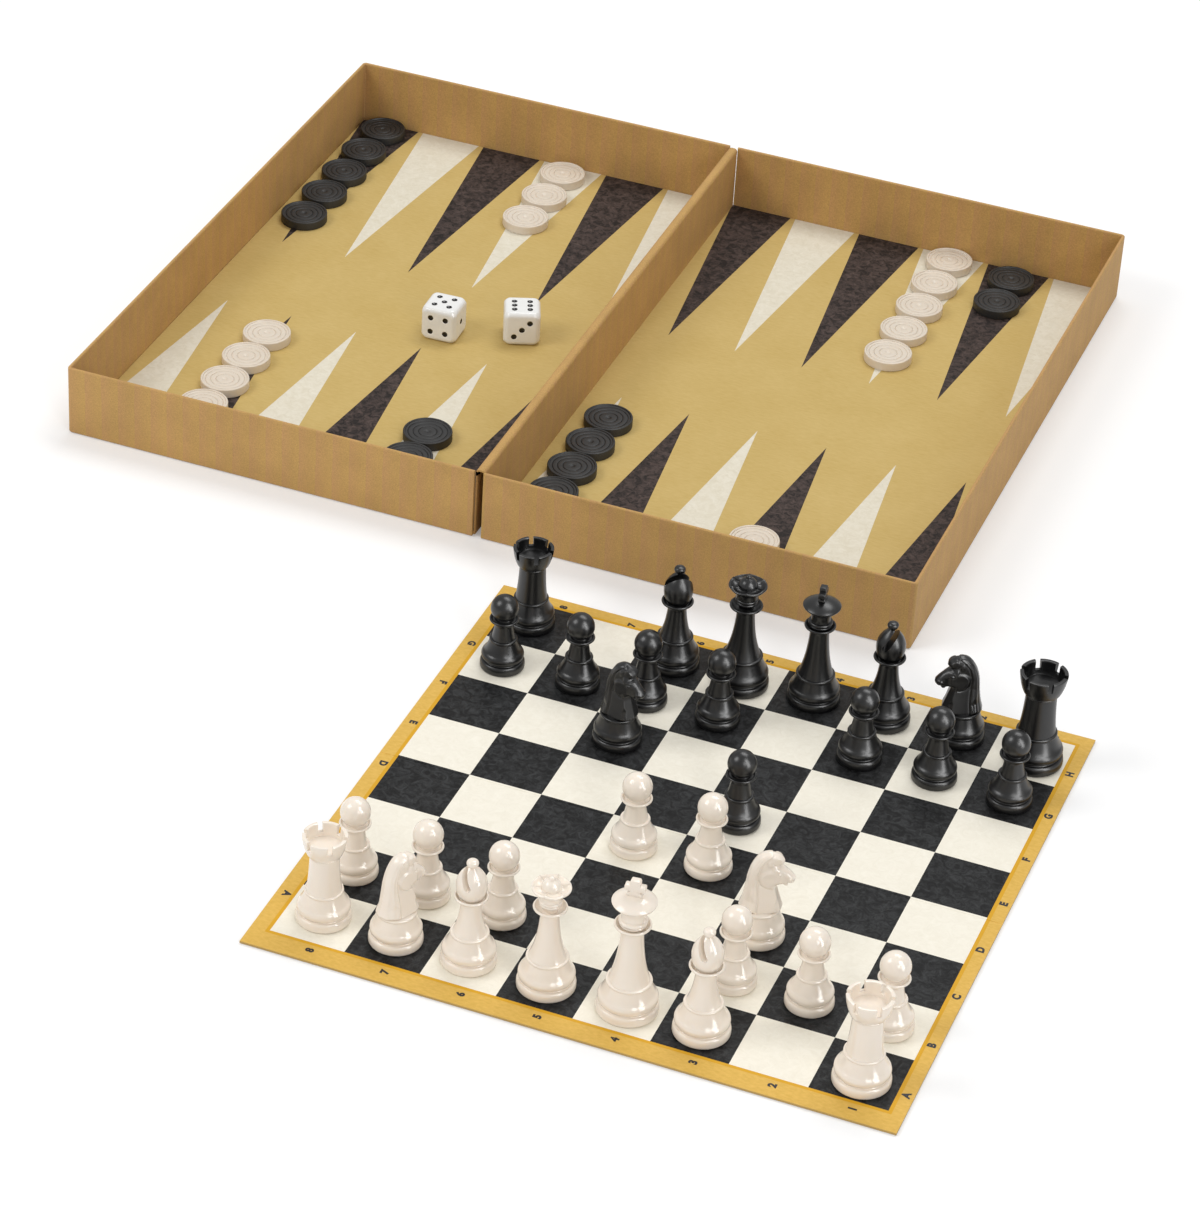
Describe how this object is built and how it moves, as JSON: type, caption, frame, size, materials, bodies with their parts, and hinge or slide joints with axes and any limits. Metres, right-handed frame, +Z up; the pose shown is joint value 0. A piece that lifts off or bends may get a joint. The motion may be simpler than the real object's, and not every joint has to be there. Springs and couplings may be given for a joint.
{
  "type": "games compendium box",
  "caption": "Folding two-tray cardboard games box with a backgammon floor, draughts and dice, and a folding chess board set out with turned plastic chess men.",
  "frame": {"origin": "middle of the right-hand tray's base, on the table", "axes": "+Z up, +Y from the front of the box to its back, +X to the right for someone in front of the open box"},
  "size_m": [0.4699, 0.6035, 0.0601],
  "materials": {
    "tray_board": "brown corrugated board, matt",
    "printed_floor": "matt printed sheet, tan with dark and cream points",
    "chess_board": "matt printed board, gold border with dark and cream squares",
    "black_discs": "semi-matt moulded plastic",
    "ivory_discs": "semi-matt moulded plastic",
    "dice": "glossy moulded plastic with black pips",
    "ivory_men": "glossy moulded plastic",
    "black_men": "glossy moulded plastic"
  },
  "bodies": {
    "right_tray": {"right_tray": "tray_board", "right_sheet": "printed_floor", "spine_strip": "tray_board"},
    "left_tray": {"left_tray": "tray_board", "left_sheet": "printed_floor"},
    "board_front_leaf": {"board_front_leaf": "chess_board", "board_crease": "chess_board"},
    "board_back_leaf": {"board_back_leaf": "chess_board"},
    "draughts_left_back_black": {"draughts_left_back_black": "black_discs"},
    "draughts_left_back_white": {"draughts_left_back_white": "ivory_discs"},
    "draughts_left_front_white": {"draughts_left_front_white": "ivory_discs"},
    "draughts_left_front_black": {"draughts_left_front_black": "black_discs"},
    "draughts_right_back_white": {"draughts_right_back_white": "ivory_discs"},
    "draughts_right_back_black": {"draughts_right_back_black": "black_discs"},
    "draughts_right_front_black": {"draughts_right_front_black": "black_discs"},
    "draughts_right_front_white": {"draughts_right_front_white": "ivory_discs"},
    "die_near_fold_left": {"die_near_fold_left": "dice"},
    "die_near_fold_right": {"die_near_fold_right": "dice"},
    "white_rook_1": {"white_rook_1": "ivory_men"},
    "white_rook_2": {"white_rook_2": "ivory_men"},
    "white_knight_1": {"white_knight_1": "ivory_men"},
    "white_knight_2": {"white_knight_2": "ivory_men"},
    "white_bishop_1": {"white_bishop_1": "ivory_men"},
    "white_bishop_2": {"white_bishop_2": "ivory_men"},
    "white_queen": {"white_queen": "ivory_men"},
    "white_king": {"white_king": "ivory_men"},
    "white_pawn_1": {"white_pawn_1": "ivory_men"},
    "white_pawn_2": {"white_pawn_2": "ivory_men"},
    "white_pawn_3": {"white_pawn_3": "ivory_men"},
    "white_pawn_4": {"white_pawn_4": "ivory_men"},
    "white_pawn_5": {"white_pawn_5": "ivory_men"},
    "white_pawn_6": {"white_pawn_6": "ivory_men"},
    "white_pawn_7": {"white_pawn_7": "ivory_men"},
    "white_pawn_8": {"white_pawn_8": "ivory_men"},
    "black_rook_1": {"black_rook_1": "black_men"},
    "black_rook_2": {"black_rook_2": "black_men"},
    "black_knight_1": {"black_knight_1": "black_men"},
    "black_knight_2": {"black_knight_2": "black_men"},
    "black_bishop_1": {"black_bishop_1": "black_men"},
    "black_bishop_2": {"black_bishop_2": "black_men"},
    "black_queen": {"black_queen": "black_men"},
    "black_king": {"black_king": "black_men"},
    "black_pawn_1": {"black_pawn_1": "black_men"},
    "black_pawn_2": {"black_pawn_2": "black_men"},
    "black_pawn_3": {"black_pawn_3": "black_men"},
    "black_pawn_4": {"black_pawn_4": "black_men"},
    "black_pawn_5": {"black_pawn_5": "black_men"},
    "black_pawn_6": {"black_pawn_6": "black_men"},
    "black_pawn_7": {"black_pawn_7": "black_men"},
    "black_pawn_8": {"black_pawn_8": "black_men"}
  },
  "joints": [
    {"name": "box_fold", "type": "hinge", "parent": "right_tray", "child": "left_tray", "pos_m": [-0.09685, 0, 0.0325], "axis": [0, 1, 0], "range_deg": [0, 180]},
    {"name": "board_fold", "type": "hinge", "parent": "right_tray", "child": "board_front_leaf", "pos_m": [0.05455, -0.445, 0], "axis": [1, 0, 0], "range_deg": [0, 90]},
    {"name": "board_fold_at_crease", "type": "hinge", "parent": "board_front_leaf", "child": "board_back_leaf", "pos_m": [0.05455, -0.31625, -0.0005], "axis": [1, 0, 0], "range_deg": [-180, 0]},
    {"name": "lift_draughts_left_back_black", "type": "slide", "parent": "left_tray", "child": "draughts_left_back_black", "axis": [0, 0, 1], "range_m": [0, 0.036]},
    {"name": "lift_draughts_left_back_white", "type": "slide", "parent": "left_tray", "child": "draughts_left_back_white", "axis": [0, 0, 1], "range_m": [0, 0.036]},
    {"name": "lift_draughts_left_front_white", "type": "slide", "parent": "left_tray", "child": "draughts_left_front_white", "axis": [0, 0, 1], "range_m": [0, 0.036]},
    {"name": "lift_draughts_left_front_black", "type": "slide", "parent": "left_tray", "child": "draughts_left_front_black", "axis": [0, 0, 1], "range_m": [0, 0.036]},
    {"name": "lift_draughts_right_back_white", "type": "slide", "parent": "right_tray", "child": "draughts_right_back_white", "axis": [0, 0, 1], "range_m": [0, 0.036]},
    {"name": "lift_draughts_right_back_black", "type": "slide", "parent": "right_tray", "child": "draughts_right_back_black", "axis": [0, 0, 1], "range_m": [0, 0.036]},
    {"name": "lift_draughts_right_front_black", "type": "slide", "parent": "right_tray", "child": "draughts_right_front_black", "axis": [0, 0, 1], "range_m": [0, 0.036]},
    {"name": "lift_draughts_right_front_white", "type": "slide", "parent": "right_tray", "child": "draughts_right_front_white", "axis": [0, 0, 1], "range_m": [0, 0.036]},
    {"name": "lift_die_near_fold_left", "type": "slide", "parent": "left_tray", "child": "die_near_fold_left", "axis": [0, 0, 1], "range_m": [0, 0.036]},
    {"name": "lift_die_near_fold_right", "type": "slide", "parent": "left_tray", "child": "die_near_fold_right", "axis": [0, 0, 1], "range_m": [0, 0.036]},
    {"name": "lift_white_rook_1", "type": "slide", "parent": "board_front_leaf", "child": "white_rook_1", "axis": [0, 0, 1], "range_m": [0, 0.065]},
    {"name": "lift_white_rook_2", "type": "slide", "parent": "board_front_leaf", "child": "white_rook_2", "axis": [0, 0, 1], "range_m": [0, 0.065]},
    {"name": "lift_white_knight_1", "type": "slide", "parent": "board_front_leaf", "child": "white_knight_1", "axis": [0, 0, 1], "range_m": [0, 0.065]},
    {"name": "lift_white_knight_2", "type": "slide", "parent": "board_front_leaf", "child": "white_knight_2", "axis": [0, 0, 1], "range_m": [0, 0.065]},
    {"name": "lift_white_bishop_1", "type": "slide", "parent": "board_front_leaf", "child": "white_bishop_1", "axis": [0, 0, 1], "range_m": [0, 0.065]},
    {"name": "lift_white_bishop_2", "type": "slide", "parent": "board_front_leaf", "child": "white_bishop_2", "axis": [0, 0, 1], "range_m": [0, 0.065]},
    {"name": "lift_white_queen", "type": "slide", "parent": "board_front_leaf", "child": "white_queen", "axis": [0, 0, 1], "range_m": [0, 0.065]},
    {"name": "lift_white_king", "type": "slide", "parent": "board_front_leaf", "child": "white_king", "axis": [0, 0, 1], "range_m": [0, 0.065]},
    {"name": "lift_white_pawn_1", "type": "slide", "parent": "board_front_leaf", "child": "white_pawn_1", "axis": [0, 0, 1], "range_m": [0, 0.065]},
    {"name": "lift_white_pawn_2", "type": "slide", "parent": "board_front_leaf", "child": "white_pawn_2", "axis": [0, 0, 1], "range_m": [0, 0.065]},
    {"name": "lift_white_pawn_3", "type": "slide", "parent": "board_front_leaf", "child": "white_pawn_3", "axis": [0, 0, 1], "range_m": [0, 0.065]},
    {"name": "lift_white_pawn_4", "type": "slide", "parent": "board_front_leaf", "child": "white_pawn_4", "axis": [0, 0, 1], "range_m": [0, 0.065]},
    {"name": "lift_white_pawn_5", "type": "slide", "parent": "board_front_leaf", "child": "white_pawn_5", "axis": [0, 0, 1], "range_m": [0, 0.065]},
    {"name": "lift_white_pawn_6", "type": "slide", "parent": "board_front_leaf", "child": "white_pawn_6", "axis": [0, 0, 1], "range_m": [0, 0.065]},
    {"name": "lift_white_pawn_7", "type": "slide", "parent": "board_front_leaf", "child": "white_pawn_7", "axis": [0, 0, 1], "range_m": [0, 0.065]},
    {"name": "lift_white_pawn_8", "type": "slide", "parent": "board_front_leaf", "child": "white_pawn_8", "axis": [0, 0, 1], "range_m": [0, 0.065]},
    {"name": "lift_black_rook_1", "type": "slide", "parent": "board_back_leaf", "child": "black_rook_1", "axis": [0, 0, 1], "range_m": [0, 0.065]},
    {"name": "lift_black_rook_2", "type": "slide", "parent": "board_back_leaf", "child": "black_rook_2", "axis": [0, 0, 1], "range_m": [0, 0.065]},
    {"name": "lift_black_knight_1", "type": "slide", "parent": "board_back_leaf", "child": "black_knight_1", "axis": [0, 0, 1], "range_m": [0, 0.065]},
    {"name": "lift_black_knight_2", "type": "slide", "parent": "board_back_leaf", "child": "black_knight_2", "axis": [0, 0, 1], "range_m": [0, 0.065]},
    {"name": "lift_black_bishop_1", "type": "slide", "parent": "board_back_leaf", "child": "black_bishop_1", "axis": [0, 0, 1], "range_m": [0, 0.065]},
    {"name": "lift_black_bishop_2", "type": "slide", "parent": "board_back_leaf", "child": "black_bishop_2", "axis": [0, 0, 1], "range_m": [0, 0.065]},
    {"name": "lift_black_queen", "type": "slide", "parent": "board_back_leaf", "child": "black_queen", "axis": [0, 0, 1], "range_m": [0, 0.065]},
    {"name": "lift_black_king", "type": "slide", "parent": "board_back_leaf", "child": "black_king", "axis": [0, 0, 1], "range_m": [0, 0.065]},
    {"name": "lift_black_pawn_1", "type": "slide", "parent": "board_back_leaf", "child": "black_pawn_1", "axis": [0, 0, 1], "range_m": [0, 0.065]},
    {"name": "lift_black_pawn_2", "type": "slide", "parent": "board_back_leaf", "child": "black_pawn_2", "axis": [0, 0, 1], "range_m": [0, 0.065]},
    {"name": "lift_black_pawn_3", "type": "slide", "parent": "board_back_leaf", "child": "black_pawn_3", "axis": [0, 0, 1], "range_m": [0, 0.065]},
    {"name": "lift_black_pawn_4", "type": "slide", "parent": "board_back_leaf", "child": "black_pawn_4", "axis": [0, 0, 1], "range_m": [0, 0.065]},
    {"name": "lift_black_pawn_5", "type": "slide", "parent": "board_back_leaf", "child": "black_pawn_5", "axis": [0, 0, 1], "range_m": [0, 0.065]},
    {"name": "lift_black_pawn_6", "type": "slide", "parent": "board_back_leaf", "child": "black_pawn_6", "axis": [0, 0, 1], "range_m": [0, 0.065]},
    {"name": "lift_black_pawn_7", "type": "slide", "parent": "board_back_leaf", "child": "black_pawn_7", "axis": [0, 0, 1], "range_m": [0, 0.065]},
    {"name": "lift_black_pawn_8", "type": "slide", "parent": "board_back_leaf", "child": "black_pawn_8", "axis": [0, 0, 1], "range_m": [0, 0.065]}
  ],
  "couplings": [
    {"joint": "board_fold_at_crease", "follows": "board_fold", "ratio": -2}
  ]
}
